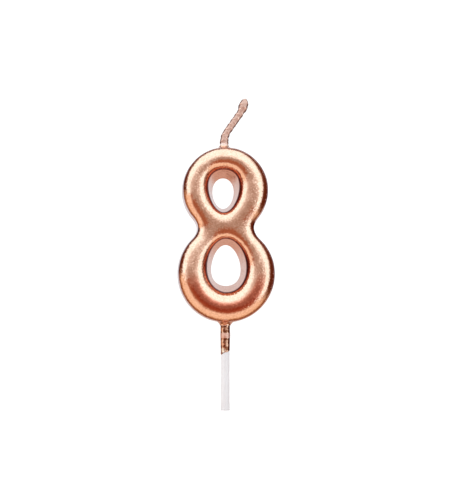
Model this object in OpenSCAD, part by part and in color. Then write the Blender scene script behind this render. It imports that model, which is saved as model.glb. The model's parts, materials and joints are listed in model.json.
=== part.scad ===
// Number birthday candle: a moulded wax figure 8 with a metallic coat,
// a plaited wick and a hollow plastic stick that goes into the cake.
//
// Frame: X to the right, Y away from the viewer, Z up, millimetres.
// The origin is the centre of the flat lower end of the stick.
// The figure faces -Y, its flat back is on the +Y side.

/* [Figure] */
// Height of the upper loop's centre above the stick's end
upper_z = 61.2; // [60.6:0.1:61.8]
// Radius of the upper loop at the flat back
upper_r = 12.05; // [11.6:0.05:12.4]
// Height of the lower loop's centre above the stick's end
lower_z = 37.9; // [37.4:0.1:38.4]
// Radius of the lower loop at the flat back
lower_r = 13.6; // [13.2:0.05:14]
// Size of the blend where the two loops meet at the waist
waist_blend = 4.5; // [4:0.1:5.2]
// How far the lower loop stands to the right of the upper one
foot_shift = 0.3; // [0:0.1:0.4]

/* [Depth] */
// Distance of the flat back behind the stick's axis
back_y = 3.2; // [2.8:0.1:3.6]
// Height of the drafted side wall, from the flat back to the crown's edge
wall_depth = 6; // [5.6:0.1:6.2]
// How far the side wall leans in over its height
wall_draft = 0.35; // [0.3:0.05:0.5]
// Height of the rounded crown above its edge on a middling stroke
crown_height = 2.5; // [2.2:0.1:2.8]

/* [Eyes] */
// Distance of the upper eye's middle right of the upper loop's centre
upper_eye_x = -0.5; // [-0.6:0.1:0.2]
// Height of the middle of the upper eye at the crown's edge
upper_eye_z = 60.95; // [60.6:0.05:61.2]
// Greatest width of the upper eye at the crown's edge
upper_eye_w = 8.9; // [8.2:0.1:9.4]
// Height of the upper eye at the crown's edge
upper_eye_h = 12.2; // [11.4:0.1:12.8]
// Egg shape of the upper eye, below zero with the blunt end up
upper_eye_egg = -0.42; // [-0.5:0.02:-0.1]
// Height of the middle of the lower eye at the crown's edge
lower_eye_z = 40.2; // [39.9:0.05:40.5]
// Greatest width of the lower eye at the crown's edge
lower_eye_w = 11.2; // [10.4:0.1:11.8]
// Height of the lower eye at the crown's edge
lower_eye_h = 15.1; // [14.2:0.1:15.6]
// Egg shape of the lower eye, above zero with the narrow end up
lower_eye_egg = 0.16; // [0.06:0.02:0.4]
// How much closer each side of an eye is at the flat back
eye_side_draft = 1.45; // [1:0.05:1.6]
// How much closer each end of an eye is at the flat back
eye_end_draft = 1.8; // [1.2:0.05:1.9]

/* [Coat] */
// Gap modelled under the metallic coat
coat_gap = 0.02; // [0.02:0.01:0.03]
// Thickness of the metallic coat
coat_t = 0.09; // [0.06:0.01:0.12]

/* [Stick] */
// Outer diameter of the stick
stick_d = 2.4; // [2.2:0.1:2.6]
// Diameter of the stick's thinner top, which the coat and the wax cover
stick_top_d = 2.08; // [1.9:0.02:2.08]
// Height at which the stick gets thinner
stick_step_z = 16.6; // [16.4:0.1:17]
// Diameter of the hole along the stick
stick_bore = 1.5; // [1.2:0.1:1.5]
// Length of the stick buried in the wax
stick_buried = 6; // [4:0.5:6.5]
// Height of the coat's lower edge on the stick, at its middle
coat_end_z = 16.15; // [16:0.05:16.2]
// Rise of the coat's lower edge from the left of the stick to the right
coat_end_slant = 0.8; // [0:0.1:0.8]

/* [Wick] */
// Distance of the wick left of the stick's axis
wick_left = 0.3; // [0:0.1:0.6]
// Height of the point the free wick bends about
pivot_z = 74.2; // [74:0.1:74.4]
// Length of the free wick above that point
wick_free = 14; // [10:0.5:16]
// Greatest lean of the free wick, in degrees
wick_lean = 35; // [20:1:40]
// How far the tip of the wick straightens up again, in degrees
wick_return = 17; // [0:1:25]
// Length of wick in which each strand crosses over and comes back
plait_pitch = 5; // [4:0.5:6]
// Diameter of the wick inside the wax
core_d = 1.2; // [1:0.1:1.4]

/* [Hidden] */
n_out = 64; // steps round the free side of each loop, closer at the waist
n_seam = 12; // steps along the waist line, where the loops meet
n_crown = 11; // steps over the crown
n_ring = n_out + n_seam;
edge_y = back_y - wall_depth;
seam_z = (upper_z - upper_r + lower_z + lower_r) / 2;
body_foot_z = lower_z - lower_r;
neck_z = body_foot_z - 0.8;
cup_r = 1.2;
root_r = 1.1;
eye_up = [upper_eye_z, upper_eye_w / 2, upper_eye_h / 2, upper_eye_egg,
          upper_eye_x];
eye_low = [lower_eye_z, lower_eye_w / 2, lower_eye_h / 2, lower_eye_egg, 0];
// an eye's middle and egg shape change a little towards the flat back
back_shift_up = -0.35;
back_shift_low = 0.1;
back_egg = 0.24;
nominal_half = 3.2;
crown_cut = 0.43; // how much of an ellipse's steep edge the crown leaves out

// ---------- planform ----------

// Depth inside the outline of the two blended discs, drawn in by e.
function inside(x, z, e) =
    let (b = waist_blend + 1.5 * e)
    let (f = b + upper_r - e - norm([x, z - upper_z]))
    let (g = b + lower_r - e - norm([x, z - lower_z]))
    norm([max(0, f), max(0, g)]) - b;

// Distance along a ray at which it leaves the outline, by halving.
function leave(c, d, lo, hi, e, n = 26) =
    n == 0 ? (lo + hi) / 2 :
    let (m = (lo + hi) / 2)
    inside(c[0] + m * d[0], c[1] + m * d[1], e) > 0
        ? leave(c, d, m, hi, e, n - 1)
        : leave(c, d, lo, m, e, n - 1);

function seam_half(e) = leave([0, seam_z], [1, 0], 4, 12, e);

// Outline of one loop seen from its eye: side s is 1 up or -1 down. The free
// side comes first, then the waist line shared with the other loop.
function loop_ring(s, zc, e) =
    let (w = seam_half(e), th = atan2(abs(seam_z - zc), w))
    let (a0 = s > 0 ? -th : 180 - th, sweep = 180 + 2 * th)
    [for (i = [0 : n_ring - 1])
        i == 0 ? [s * w, seam_z] :
        i == n_out ? [-s * w, seam_z] :
        i > n_out ? [s * w * (2 * (i - n_out) / n_seam - 1), seam_z] :
        let (u = i / n_out, a = a0 + sweep * (u - 0.09 * sin(360 * u)))
        let (d = [cos(a), sin(a)])
        let (toward = (seam_z - zc) / d[1])
        let (hi = toward > 0 && toward < 16 ? toward : 16)
        [0, zc] + d * leave([0, zc], d, 2, hi, e)];

// An egg is [middle z, half width, half height, egg shape, middle x].
function widest(k) = abs(k) < 0.01 ? 0 : (sqrt(1 - k * k) - 1) / k;
function egg_a(g) =
    let (w = widest(g[3]))
    g[1] / sqrt((1 - w * w) / (1 + g[3] * w));
function egg_point(g, t) =
    [g[4] + egg_a(g) * cos(t) / sqrt(1 + g[3] * sin(t)), g[0] + g[2] * sin(t)];

// First-order distance outside an egg.
function outside_egg(g, px, z) =
    let (x = px - g[4])
    let (a = egg_a(g), u = (z - g[0]) / g[2], q = max(0.05, 1 + g[3] * u))
    let (r = sqrt(x * x / (a * a) * q + u * u))
    let (dx = 2 * x * q / (a * a))
    let (dz = (g[3] * x * x / (a * a) + 2 * u) / g[2])
    (r - 1) * 2 * r / norm([dx, dz]);

// Eyes grown inwards by o, at the crown's edge and at the flat back.
function front_eye(g, o) = [g[0], g[1] - o, g[2] - o, g[3], g[4]];
function back_eye(g, shift, o) =
    [g[0] + shift, g[1] - eye_side_draft - o, g[2] - eye_end_draft - o,
     g[3] + back_egg, g[4]];

// Height of the crown over its edge. For an even stroke this is an ellipse
// without its steep edge.
function crown(x, z, o) =
    let (f = inside(x, z, wall_draft - o))
    let (g = outside_egg(front_eye(eye_up, o), x, z))
    let (h = outside_egg(front_eye(eye_low, o), x, z))
    min(f, g, h) < 0.00001 ? 0 :
    let (q = 2 / nominal_half / (1 / f + 1 / g + 1 / h))
    (crown_height + o / 2)
        * (sqrt(crown_cut * crown_cut + q) - crown_cut)
        / (sqrt(crown_cut * crown_cut + 1) - crown_cut);

// ---------- the figure's skin, set out by o from the wax ----------

function mixed(a, b, t) = a + (b - a) * t;
// Sideways shift of the figure at height z.
function shifted(z) = foot_shift * (1 - smooth((z - lower_z - 2) / 18));
function deep(p, y) = [p[0] + shifted(p[1]), y, p[1]];

// Rows of points from the eye's back edge, over the crown, to the back again.
function loop_rows(s, o) =
    let (g = s > 0 ? eye_up : eye_low)
    let (shift = s > 0 ? back_shift_up : back_shift_low)
    let (front = loop_ring(s, g[0], wall_draft - o))
    let (rear = loop_ring(s, g[0], -o))
    let (rim = [for (p = front)
        egg_point(front_eye(g, o), atan2(p[1] - g[0], p[0] - g[4]))])
    let (hem = [for (p = rear)
        egg_point(back_eye(g, shift, o), atan2(p[1] - g[0], p[0] - g[4]))])
    [[for (p = hem) deep(p, back_y + o)],
     for (j = [0 : n_crown])
        let (t = (1 - cos(180 * j / n_crown)) / 2)
        [for (i = [0 : n_ring - 1])
            let (p = mixed(rim[i], front[i], t))
            let (free = i <= n_out)
            deep(p, edge_y - ((j == 0 || (free && j == n_crown))
                ? 0 : crown(p[0], p[1], o)))],
     [for (p = rear) deep(p, back_y + o)]];

n_rows = n_crown + 3;
per_loop = n_rows * n_ring;

// Number of a point; the lower loop uses the upper loop's waist points.
function id(s, row, i) =
    let (k = i % n_ring)
    s > 0 ? row * n_ring + k :
    (row >= n_crown + 1 && (k == 0 || k >= n_out))
        ? row * n_ring + (n_out - (k == 0 ? 0 : k - n_ring)) % n_ring
        : per_loop + row * n_ring + k;

function quad(a, b, c, d) = [[a, c, b], [a, d, c]];
function loop_faces(s) = [
    for (row = [0 : n_rows - 2], i = [0 : n_ring - 1])
        if (row <= n_crown || i < n_out)
            each quad(id(s, row, i), id(s, row + 1, i),
                      id(s, row + 1, i + 1), id(s, row, i + 1)),
    for (i = [0 : n_ring - 1])
        each quad(id(s, n_rows - 1, i), id(s, 0, i),
                  id(s, 0, i + 1), id(s, n_rows - 1, i + 1))];

module figure(o) {
    polyhedron(
        points = [for (s = [1, -1], row = loop_rows(s, o)) each row],
        faces = concat(loop_faces(1), loop_faces(-1)),
        convexity = 8);
}

// Flared collar of wax round the top of the stick.
module collar(o) {
    rotate_extrude($fn = 64)
        polygon([[0, neck_z], [1.5 + o, neck_z], [1.56 + o, neck_z + 0.35],
                 [1.62 + o, neck_z + 0.8], [1.9 + o, neck_z + 1.25],
                 [2.2 + o / 2, neck_z + 1.7], [2.2 + o / 2, neck_z + 2.6],
                 [0, neck_z + 2.6]]);
}

// Little crater of wax the wick comes out of.
module crater(o) {
    translate([-wick_left, 0, 0])
        rotate_extrude($fn = 64)
            polygon([[0, pivot_z - 3.2], [2.3, pivot_z - 3.2],
                     [2.3 + o, pivot_z - 1.75], [1.75 + o, pivot_z - 1.4],
                     [1.42 + o, pivot_z - 1], [1.28 + o, pivot_z - 0.5 + o / 2],
                     [0, pivot_z - 0.5 + o / 2]]);
}

module wax_shape(o) {
    union() {
        figure(o);
        collar(o);
        crater(o);
    }
}

// Ball-shaped room for the lower end of the free wick.
module cup() {
    translate([-wick_left, 0, pivot_z])
        sphere(r = cup_r, $fn = 64);
}

// ---------- tubes ----------

n_sec = 10;

// Closed tube through equal rings of points that turn right-handed about the
// tube's direction.
module tube(rings) {
    n = len(rings[0]);
    last = len(rings) - 1;
    polyhedron(
        points = [for (ring = rings) each ring],
        faces = [
            [for (j = [0 : n - 1]) j],
            [for (j = [0 : n - 1]) last * n + n - 1 - j],
            for (i = [0 : last - 1], j = [0 : n - 1])
                each quad(i * n + j, i * n + (j + 1) % n,
                          (i + 1) * n + (j + 1) % n, (i + 1) * n + j)],
        convexity = 6);
}

// ---------- buried wick ----------

turn_r = 3.5;
up_r = 8.3;
low_r = 9.1;
join_a = acos((turn_r - wick_left) / (turn_r + up_r));
turn_z = upper_z + (turn_r + up_r) * sin(join_a);
cross_a = asin((up_r + low_r) / (upper_z - lower_z));
end_a = 246;

// Points [x, z, heading] round a centre, from angle a0 to a1.
function arc(x, z, r, a0, a1, n) =
    [for (i = [0 : n])
        let (a = a0 + (a1 - a0) * i / n)
        [x + r * cos(a), z + r * sin(a), a + (a1 > a0 ? 90 : -90)]];

// Straight in at the top, a short turn, the right of the upper loop, straight
// over the waist and the left of the lower loop.
core_line = concat(
    [[-wick_left, pivot_z - cup_r - 0.06, -90]],
    arc(turn_r - wick_left, turn_z, turn_r, 180, 180 + join_a, 8),
    [for (p = arc(0, upper_z, up_r, join_a, -cross_a, 22))
        if (p[2] < join_a - 91) p],
    arc(0, lower_z, low_r, 180 - cross_a, end_a, 20));

module core_bar(d) {
    tube([for (p = core_line)
        [for (j = [0 : n_sec - 1])
            let (q = 360 * j / n_sec, u = d / 2 * cos(q))
            [p[0] - u * sin(p[2]), -d / 2 * sin(q), p[1] + u * cos(p[2])]]]);
}

// ---------- free wick ----------

n_path = 72;
path_from = -0.55;
path_step = (wick_free - path_from) / n_path;

function smooth(t) = let (c = min(1, max(0, t))) c * c * (3 - 2 * c);
function lean_at(s) =
    wick_lean * smooth(s / 4.6) - wick_return * smooth((s - 9.2) / 3.2);

// Middle line of the free wick, starting straight up through the pivot.
function walk(i, p) =
    i > n_path ? [] :
    let (a = lean_at(path_from + (i + 0.5) * path_step))
    concat([p], walk(i + 1, p + path_step * [sin(a), cos(a)]));
wick_line = walk(0, [-wick_left, pivot_z + path_from]);

// Fullness of the plait: rounded at the root, slim, then a bulb at the tip.
function fullness(s) =
    let (root = sqrt(max(0.1, root_r * root_r - min(s, 0) * min(s, 0))) / root_r)
    let (bulb = smooth((s - 10.4) / 1.8) * 0.34)
    let (tip = sqrt(max(0.12, 1 - pow(max(0, s - wick_free + 1.2) / 1.22, 2))))
    (1 + 0.22 * (1 - smooth((s - 0.3) / 4)) + bulb) * root * tip;

// One strand of the plait, k thirds of a pitch along.
module strand(k) {
    tube([for (i = [0 : n_path])
        let (s = path_from + i * path_step, a = lean_at(s), f = fullness(s))
        let (ph = 360 * (s / plait_pitch + k / 3))
        let (across = 0.614 * f * sin(ph), depth = 0.425 * f * sin(2 * ph))
        [for (j = [0 : n_sec - 1])
            let (q = 360 * j / n_sec)
            let (u = across + 0.307 * f * cos(q), v = depth + 0.307 * f * sin(q))
            [wick_line[i][0] + u * cos(a), v, wick_line[i][1] - u * sin(a)]]]);
}

// ---------- sub-parts ----------

// Pink wax figure, poured round the stick and the wick.
module wax_body() {
    color([0.9, 0.68, 0.6])
        difference() {
            wax_shape(0);
            difference() {
                translate([0, 0, neck_z - 1])
                    cylinder(d = stick_top_d + 0.02,
                             h = body_foot_z + stick_buried + 1.01 - neck_z,
                             $fn = 64);
                translate([0, 0, neck_z + 0.5])
                    cylinder(d = stick_bore - 0.02, h = stick_buried + 2,
                             $fn = 64);
            }
            core_bar(core_d + 0.04);
            cup();
        }
}

// Rose gold coat over the whole of the wax.
module body_coat() {
    color([0.79, 0.5, 0.4])
        difference() {
            wax_shape(coat_gap + coat_t);
            wax_shape(coat_gap);
            translate([0, 0, neck_z - 1])
                cylinder(r = 1.36, h = 3, $fn = 64);
            translate([-wick_left, 0, pivot_z - 1])
                cylinder(r = 1.2, h = 2, $fn = 64);
        }
}

// Hollow plastic stick, the end that is pushed into the cake at z = 0.
module stick() {
    color([0.93, 0.92, 0.91])
        difference() {
            union() {
                cylinder(d = stick_d, h = stick_step_z, $fn = 64);
                cylinder(d = stick_top_d, h = body_foot_z + stick_buried,
                         $fn = 64);
            }
            translate([0, 0, -1])
                cylinder(d = stick_bore, h = body_foot_z + stick_buried + 2,
                         $fn = 64);
        }
}

// The coat's run-down on the stick, with a slanting lower edge.
module stick_coat() {
    color([0.72, 0.42, 0.33])
        difference() {
            rotate_extrude($fn = 64)
                polygon([[stick_d / 2 + 0.01, coat_end_z - 2],
                         [stick_d / 2 + 0.07, coat_end_z - 2],
                         [stick_d / 2 + 0.1, coat_end_z + 0.5],
                         [stick_d / 2 + 0.09, neck_z - 3.6],
                         [stick_d / 2 + 0.06, neck_z - 3.4],
                         [stick_d / 2 + 0.06, neck_z - 2.2],
                         [stick_d / 2 + 0.03, neck_z - 2],
                         [stick_d / 2 + 0.03, neck_z - 0.02],
                         [stick_top_d / 2 + 0.01, neck_z - 0.02],
                         [stick_top_d / 2 + 0.01, stick_step_z + 0.01],
                         [stick_d / 2 + 0.01, stick_step_z + 0.01]]);
            translate([0, 0, coat_end_z])
                rotate([0, -atan2(coat_end_slant, stick_d), 0])
                    translate([-5, -5, -10])
                        cube([10, 10, 10]);
        }
}

// Wick inside the wax: down the right of the upper loop, across the waist
// and down the left of the lower loop.
module wick_core() {
    color([0.93, 0.88, 0.8])
        core_bar(core_d);
}

// Three strands of the free wick.
module wick_strand_a() {
    color([0.85, 0.6, 0.52]) strand(0);
}

module wick_strand_b() {
    color([0.82, 0.57, 0.49]) strand(1);
}

module wick_strand_c() {
    color([0.88, 0.63, 0.55]) strand(2);
}

wax_body();
body_coat();
stick();
stick_coat();
wick_core();
wick_strand_a();
wick_strand_b();
wick_strand_c();
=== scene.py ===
"""Looks of the number birthday candle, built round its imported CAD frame.

The figure's metallic skin, the plaited wick, the wax beads and the coat's
run-down on the stick are worked out here as surfaces. The wax, the stick and
the buried wick stay as the CAD has them and are given finishes. Lengths are
millimetres until a mesh is made, and metres in the studio.
"""

import json
import logging
import math
from dataclasses import dataclass, field
from enum import Enum
from typing import Any, Sequence

import bpy
import numpy as np
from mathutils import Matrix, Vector


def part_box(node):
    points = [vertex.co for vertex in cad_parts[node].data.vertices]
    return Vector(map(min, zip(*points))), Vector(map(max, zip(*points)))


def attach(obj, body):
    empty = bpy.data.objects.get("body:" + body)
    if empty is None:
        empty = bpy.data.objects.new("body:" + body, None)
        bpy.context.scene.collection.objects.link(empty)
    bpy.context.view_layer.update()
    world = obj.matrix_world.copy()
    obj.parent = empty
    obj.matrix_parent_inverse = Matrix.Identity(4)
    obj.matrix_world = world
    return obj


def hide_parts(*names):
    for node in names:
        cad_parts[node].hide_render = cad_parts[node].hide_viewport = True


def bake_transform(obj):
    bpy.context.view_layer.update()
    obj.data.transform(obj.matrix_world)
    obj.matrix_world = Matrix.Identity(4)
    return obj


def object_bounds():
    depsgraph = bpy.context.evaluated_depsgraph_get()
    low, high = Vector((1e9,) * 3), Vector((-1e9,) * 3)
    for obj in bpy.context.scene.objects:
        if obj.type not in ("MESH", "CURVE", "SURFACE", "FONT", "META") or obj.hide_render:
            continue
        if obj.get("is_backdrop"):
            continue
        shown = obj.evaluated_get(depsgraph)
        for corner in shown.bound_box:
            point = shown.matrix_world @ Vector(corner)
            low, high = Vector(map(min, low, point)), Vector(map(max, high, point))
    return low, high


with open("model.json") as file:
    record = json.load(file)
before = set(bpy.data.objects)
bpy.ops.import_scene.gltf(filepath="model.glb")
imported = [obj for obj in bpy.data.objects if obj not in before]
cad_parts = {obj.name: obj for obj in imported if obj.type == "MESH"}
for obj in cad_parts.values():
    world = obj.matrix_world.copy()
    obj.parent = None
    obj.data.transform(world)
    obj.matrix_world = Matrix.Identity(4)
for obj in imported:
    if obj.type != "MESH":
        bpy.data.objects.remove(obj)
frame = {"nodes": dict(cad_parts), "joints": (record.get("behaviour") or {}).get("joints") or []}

LOG = logging.getLogger("candle")
MM = 0.001

Array = np.ndarray
Colour = tuple[float, float, float]


class Slot(Enum):
    """Names of material slots, one for each kind of new piece."""

    COAT = "rose_gold_coat"
    WAX = "wax"
    WICK = "coated_wick"


class Body(Enum):
    """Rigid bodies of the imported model."""

    CANDLE = "candle"
    WICK = "wick"


def wick_root() -> Array:
    """Place of the wick's joint in millimetres."""
    joint = next(j for j in frame["joints"] if j["name"] == "wick_bend")
    return np.array(joint["pos_m"], float) / MM


# ---------------------------------------------------------------- shader kit


class Wire:
    """A node's output that can be used in sums."""

    def __init__(self, kit: "NodeKit", socket: Any) -> None:
        self.kit = kit
        self.socket = socket

    def __add__(self, other: Any) -> "Wire":
        """Sum of two values."""
        return self.kit.math("ADD", self, other)

    def __radd__(self, other: Any) -> "Wire":
        """Sum of two values."""
        return self.kit.math("ADD", other, self)

    def __sub__(self, other: Any) -> "Wire":
        """Difference of two values."""
        return self.kit.math("SUBTRACT", self, other)

    def __rsub__(self, other: Any) -> "Wire":
        """Difference of two values."""
        return self.kit.math("SUBTRACT", other, self)

    def __mul__(self, other: Any) -> "Wire":
        """Product of two values."""
        return self.kit.math("MULTIPLY", self, other)

    def __rmul__(self, other: Any) -> "Wire":
        """Product of two values."""
        return self.kit.math("MULTIPLY", other, self)

    def __truediv__(self, other: Any) -> "Wire":
        """Quotient of two values."""
        return self.kit.math("DIVIDE", self, other)

    def __pow__(self, other: Any) -> "Wire":
        """Power of a value."""
        return self.kit.math("POWER", self, other)


class NodeKit:
    """Adds nodes to one shader tree."""

    def __init__(self, tree: Any) -> None:
        """Start on an emptied node tree."""
        self.tree = tree
        self.tree.nodes.clear()

    def make(self, kind: str, settings: dict[str, Any], **values: Any) -> Any:
        """Add one node.

        Args:
            kind: Blender's node type.
            settings: properties set before the sockets; "stops" fills a ramp.
            values: sockets by name, with spaces written as underscores, or
                by number as i0, i1 and so on.

        Returns:
            The node.
        """
        node = self.tree.nodes.new(kind)
        for key, value in settings.items():
            if key == "stops":
                self._fill_ramp(node.color_ramp, value)
            else:
                setattr(node, key, value)
        for key, value in values.items():
            number = key[1:].isdigit() and key[0] == "i"
            socket = node.inputs[int(key[1:]) if number else key.replace("_", " ")]
            self._feed(socket, value)
        return node

    def _feed(self, socket: Any, value: Any) -> None:
        """Link or set one input socket.

        Args:
            socket: the socket.
            value: a link, a colour, a vector or a number.
        """
        if isinstance(value, Wire):
            self.tree.links.new(value.socket, socket)
        elif isinstance(value, bpy.types.NodeSocket):
            self.tree.links.new(value, socket)
        elif isinstance(value, (tuple, list)) and socket.type == "RGBA":
            socket.default_value = (*value[:3], 1.0)
        else:
            socket.default_value = value

    @staticmethod
    def _fill_ramp(ramp: Any, stops: Sequence[tuple[float, Colour]]) -> None:
        """Set a ramp's stops, eased from one to the next.

        Args:
            ramp: the ramp.
            stops: a place from 0 to 1 and a colour each.
        """
        ramp.interpolation = "EASE"
        while len(ramp.elements) < len(stops):
            ramp.elements.new(1.0)
        for element, (place, colour) in zip(ramp.elements, stops):
            element.position = place
            element.color = (*colour, 1.0)

    def math(self, operation: str, *values: Any, clamp: bool = False) -> Wire:
        """Add a Math node.

        Args:
            operation: the node's operation.
            values: its inputs in order.
            clamp: keep the result between 0 and 1.

        Returns:
            The node's output.
        """
        node = self.make("ShaderNodeMath", {"operation": operation, "use_clamp": clamp})
        for socket, value in zip(node.inputs, values):
            self._feed(socket, value)
        return Wire(self, node.outputs[0])

    def vector(self, operation: str, *values: Any, scale: Any = None) -> Wire:
        """Add a Vector Math node.

        Args:
            operation: the node's operation.
            values: its vectors in order.
            scale: the factor of a SCALE operation.

        Returns:
            The node's vector, or its value where the operation gives a number.
        """
        node = self.make("ShaderNodeVectorMath", {"operation": operation})
        for socket, value in zip(node.inputs, values):
            self._feed(socket, value)
        if scale is not None:
            self._feed(node.inputs["Scale"], scale)
        scalar = operation in ("DOT_PRODUCT", "LENGTH", "DISTANCE")
        return Wire(self, node.outputs["Value" if scalar else "Vector"])

    def blend(self, share: Any, first: Any, second: Any) -> Wire:
        """Mix two colours.

        Args:
            share: 0 for the first colour, 1 for the second.
            first: a colour or a link.
            second: a colour or a link.

        Returns:
            The mixed colour.
        """
        node = self.make("ShaderNodeMix", {"data_type": "RGBA"})
        for place, value in ((0, share), (6, first), (7, second)):
            self._feed(node.inputs[place], value)
        return Wire(self, node.outputs[2])

    def band(self, value: Any, low: Any, high: Any) -> Wire:
        """Smooth step of a value.

        Args:
            value: the value.
            low: where the step leaves 0.
            high: where the step reaches 1.

        Returns:
            A number from 0 to 1.
        """
        node = self.make(
            "ShaderNodeMapRange",
            {"interpolation_type": "SMOOTHSTEP"},
            From_Min=low,
            From_Max=high,
            Value=value,
        )
        return Wire(self, node.outputs[0])

    def attribute(self, name: str) -> Wire:
        """Value of a mesh attribute."""
        node = self.make("ShaderNodeAttribute", {"attribute_name": name})
        return Wire(self, node.outputs["Fac"])

    def position(self) -> Wire:
        """Place on the object in metres."""
        node = self.make("ShaderNodeTexCoord", {})
        return Wire(self, node.outputs["Object"])

    def noise(self, where: Any, size: float, detail: float) -> Wire:
        """Cloudy noise.

        Args:
            where: place in metres.
            size: rough size of its features in millimetres.
            detail: number of finer layers.

        Returns:
            A number from 0 to 1.
        """
        node = self.make(
            "ShaderNodeTexNoise",
            {"noise_dimensions": "3D"},
            Vector=where,
            Scale=1 / (size * MM),
            Detail=detail,
        )
        return Wire(self, node.outputs[0])

    def bump(self, height: Any, depth: float, strength: float) -> Wire:
        """Lean of the surface under a relief.

        Args:
            height: the relief, from 0 to 1.
            depth: its full height in millimetres.
            strength: share of the lean that is kept.

        Returns:
            The normal.
        """
        node = self.make(
            "ShaderNodeBump", {}, Strength=strength, Distance=depth * MM, Height=height
        )
        return Wire(self, node.outputs[0])

    def surface(self, **values: Any) -> None:
        """Add the Principled shader and the material's output."""
        shader = self.make("ShaderNodeBsdfPrincipled", {}, **values)
        self.make("ShaderNodeOutputMaterial", {}, Surface=shader.outputs[0])


def new_material(name: str) -> tuple[Any, NodeKit]:
    """Make an empty node material.

    Args:
        name: the material's name.
    """
    material = bpy.data.materials.new(name)
    material.use_nodes = True
    return material, NodeKit(material.node_tree)


# ------------------------------------------------------------------ finishes


@dataclass(frozen=True)
class RoseGold:
    """Metallic lacquer full of fine flakes.

    Each flake is one cell of a random mosaic, and leans the surface's normal
    its own way by a share of a random vector. Painted shade and painted dark
    reflection: where the figure's painted-shade attribute is set, the colour
    is the tint times a dark red shade tint to the power of that attribute;
    for red the power is the attribute nearly squared, so light shade turns
    redder before it turns darker.
    On the stick the glaze is blotted instead, with a matte band between two
    heights and one thin pale spot. Sizes and places are millimetres.
    """

    name: str = "rose_gold_lacquer"
    tint: Colour = (0.90, 0.54, 0.41)
    deep: Colour = (0.72, 0.40, 0.28)
    # Dark red tint of the painted shade and painted dark reflection.
    shade_tint: Colour = (0.10, 0.03, 0.015)
    flake: float = 0.22
    tilt: float = 0.085
    stray: float = 0.18
    rough: float = 0.13
    cloud_size: float = 2.4
    ripple_size: float = 5.0
    ripple_depth: float = 0.02
    red_late: float = 0.8
    clear_coat: float = 0.2
    matte_band: tuple[float, float] | None = None
    band_edge: float = 0.12
    matte: Colour = (0.86, 0.50, 0.41)
    matte_rough: float = 0.38
    blot_size: float = 0.75
    blot_dark: Colour = (0.24, 0.075, 0.035)
    blot_light: Colour = (0.74, 0.40, 0.28)
    thin_spot: tuple[float, float, float] = (0.0, 0.0, 0.0)
    thin_radii: tuple[float, float] = (0.5, 0.85)
    thin: Colour = (0.93, 0.80, 0.70)

    def material(self) -> Any:
        """Build the finish.

        Returns:
            The material.
        """
        material, kit = new_material(self.name)
        where = kit.position()
        cells = kit.make(
            "ShaderNodeTexVoronoi",
            {"voronoi_dimensions": "3D", "feature": "F1"},
            Vector=where,
            Scale=1 / (self.flake * MM),
        )
        lean = kit.vector("SUBTRACT", cells.outputs["Color"], (0.5, 0.5, 0.5))
        split = kit.make("ShaderNodeSeparateColor", {}, Color=cells.outputs["Color"])
        spark = Wire(kit, split.outputs[0])
        lean = kit.vector("SCALE", lean, scale=self.tilt + spark**7 * self.stray)
        clouds = kit.noise(where, self.cloud_size, 4.0)
        ripple = kit.noise(where, self.ripple_size, 2.0)
        wavy = kit.bump(ripple, self.ripple_depth, 1.0)
        normal = kit.vector("NORMALIZE", kit.vector("ADD", wavy, lean))
        tone = kit.band(clouds * 0.4 + spark * 0.7, 0.12, 0.8)
        colour = kit.blend(tone, self.deep, self.tint)
        # Painted shade and painted dark reflection: the attribute darkens and reddens the coat
        # along the eye rims, the crown's outer edge and the lowest stroke, and thins its clear
        # coat there.
        painted_shade = kit.attribute("painted_shade")
        power = (painted_shade * (painted_shade * self.red_late + (1 - self.red_late)), painted_shade, painted_shade)
        left = [kit.math("POWER", part, by) for part, by in zip(self.shade_tint, power)]
        shade_factor = kit.make("ShaderNodeCombineXYZ", {}, X=left[0], Y=left[1], Z=left[2])
        colour = kit.vector("MULTIPLY", colour, shade_factor.outputs[0])
        rough = self.rough + (clouds - 0.5) * 0.10 + (spark - 0.5) * 0.06
        if self.matte_band:
            colour, rough = self._blotted(kit, where, clouds, rough)
        kit.surface(
            Base_Color=colour,
            Metallic=1.0,
            Roughness=rough,
            Normal=normal,
            Coat_Weight=self.clear_coat - painted_shade * 0.15,
            Coat_Roughness=0.12,
        )
        return material

    def _blotted(self, kit: NodeKit, where: Wire, clouds: Wire, rough: Wire) -> tuple[Wire, Wire]:
        """Blotted glaze with the matte band and the thin spot over it.

        Args:
            kit: the material's kit.
            where: place on the object.
            clouds: noise that wavers the height of the band's ends.
            rough: roughness of the glossy lacquer.

        Returns:
            Colour and roughness.
        """
        low, high = self.matte_band
        soft = self.band_edge
        axes = kit.make("ShaderNodeSeparateXYZ", {}, Vector=where)
        up = Wire(kit, axes.outputs[2]) * (1 / MM) + (clouds - 0.5) * 0.5
        band = kit.band(up, low - soft, low + soft)
        band = band * (1 - kit.band(up, high - soft, high + soft))
        blots = kit.band(kit.noise(where, self.blot_size, 2.0), 0.44, 0.58)
        glaze = kit.blend(blots, self.blot_dark, self.blot_light)
        colour = kit.blend(band, glaze, self.matte)
        spot = tuple(part * MM for part in self.thin_spot)
        away = kit.vector("DISTANCE", where, spot) / MM
        near = 1 - kit.band(away, *self.thin_radii)
        colour = kit.blend(near * 0.85, colour, self.thin)
        return colour, rough + band * self.matte_rough + near * 0.15


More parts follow.
